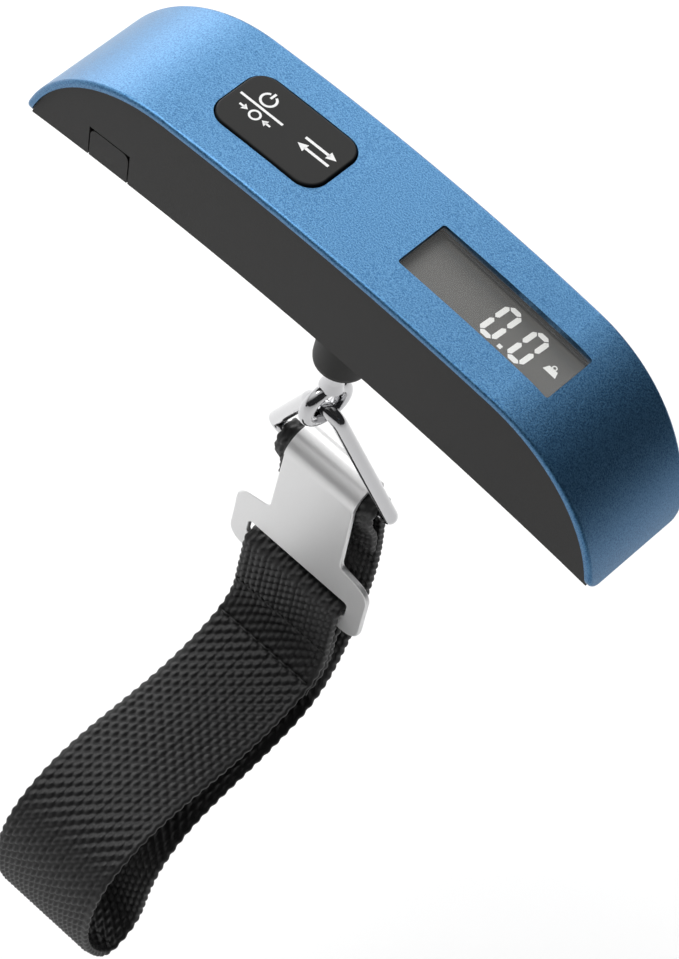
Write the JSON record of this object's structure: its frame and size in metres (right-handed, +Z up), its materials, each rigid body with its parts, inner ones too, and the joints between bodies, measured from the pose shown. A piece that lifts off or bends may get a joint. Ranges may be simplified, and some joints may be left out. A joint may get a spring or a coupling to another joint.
{
  "type": "digital luggage scale",
  "caption": "Hand-held digital luggage scale: arched grip body with display and rocker key, swivel eye, triangle ring, hook plate and webbing loop.",
  "frame": {"origin": "middle of the grip body, level with the tips of its cover, where the hand carries it", "axes": "+X along the body towards the display, +Y towards the back long face, +Z up out of the crown"},
  "size_m": [0.1398, 0.0701, 0.2081],
  "materials": {
    "top_cover": "satin blue anodised",
    "shell": "fine matte",
    "base_plate": "fine matte",
    "battery_door": "fine matte",
    "coin_cell": "satin",
    "negative_contact": "plated",
    "positive_contact": "plated",
    "base_screws": "black zinc",
    "display_lens": "clear acrylic",
    "lens_tape": "adhesive foam",
    "lcd_panel": "dark negative display",
    "lcd_frame": "moulded",
    "zebra_strips": "silicone",
    "display_board": "green solder mask",
    "controller_blob": "epoxy",
    "key_rocker": "fine matte",
    "tact_switches": "satin",
    "key_board": "green solder mask",
    "load_cell": "milled",
    "strain_gauges": "polyimide film",
    "cell_screws": "black oxide",
    "hook_bush": "turned",
    "thrust_washer": "satin",
    "hook_nut": "zinc",
    "eye_hook": "polished",
    "triangle_ring": "polished",
    "hook_plate": "polished",
    "strap_end": "woven webbing",
    "strap": "woven webbing"
  },
  "bodies": {
    "housing": {"top_cover": "top_cover", "shell": "shell", "base_plate": "base_plate", "coin_cell": "coin_cell", "negative_contact": "negative_contact", "positive_contact": "positive_contact", "base_screws": "base_screws", "display_lens": "display_lens", "lens_tape": "lens_tape", "lcd_panel": "lcd_panel", "lcd_frame": "lcd_frame", "zebra_strips": "zebra_strips", "display_board": "display_board", "controller_blob": "controller_blob", "tact_switches": "tact_switches", "key_board": "key_board", "load_cell": "load_cell", "strain_gauges": "strain_gauges", "cell_screws": "cell_screws", "hook_bush": "hook_bush", "thrust_washer": "thrust_washer"},
    "key": {"key_rocker": "key_rocker"},
    "door": {"battery_door": "battery_door"},
    "hook": {"eye_hook": "eye_hook", "hook_nut": "hook_nut"},
    "ring": {"triangle_ring": "triangle_ring"},
    "webbing": {"strap": "strap"},
    "plate": {"hook_plate": "hook_plate", "strap_end": "strap_end"}
  },
  "joints": [
    {"name": "key_rock", "type": "hinge", "parent": "housing", "child": "key", "pos_m": [-0.02326, 0, 0.02384], "axis": [0, 1, 0], "range_deg": [-1.5, 1.5], "stiffness_Nm_per_rad": 0.05},
    {"name": "battery_door_hinge", "type": "hinge", "parent": "housing", "child": "door", "pos_m": [-0.04962, 0.0088, 0.00354], "axis": [0.9962, 0, 0.0866], "range_deg": [0, 100]},
    {"name": "eye_swivel", "type": "hinge", "parent": "housing", "child": "hook", "pos_m": [0.0022, 0, -0.01], "axis": [0, 0, 1], "continuous": true},
    {"name": "ring_swing", "type": "hinge", "parent": "hook", "child": "ring", "pos_m": [0.0022, 0, -0.02775], "axis": [1, 0, 0], "range_deg": [-48, 35]},
    {"name": "strap_swing", "type": "hinge", "parent": "ring", "child": "webbing", "pos_m": [0.0022, 0.01372, -0.06103], "axis": [1, 0, 0], "range_deg": [-30, 30]},
    {"name": "plate_lift", "type": "slide", "parent": "webbing", "child": "plate", "axis": [0, -0.1219, 0.9925], "range_m": [0, 0.006]}
  ]
}
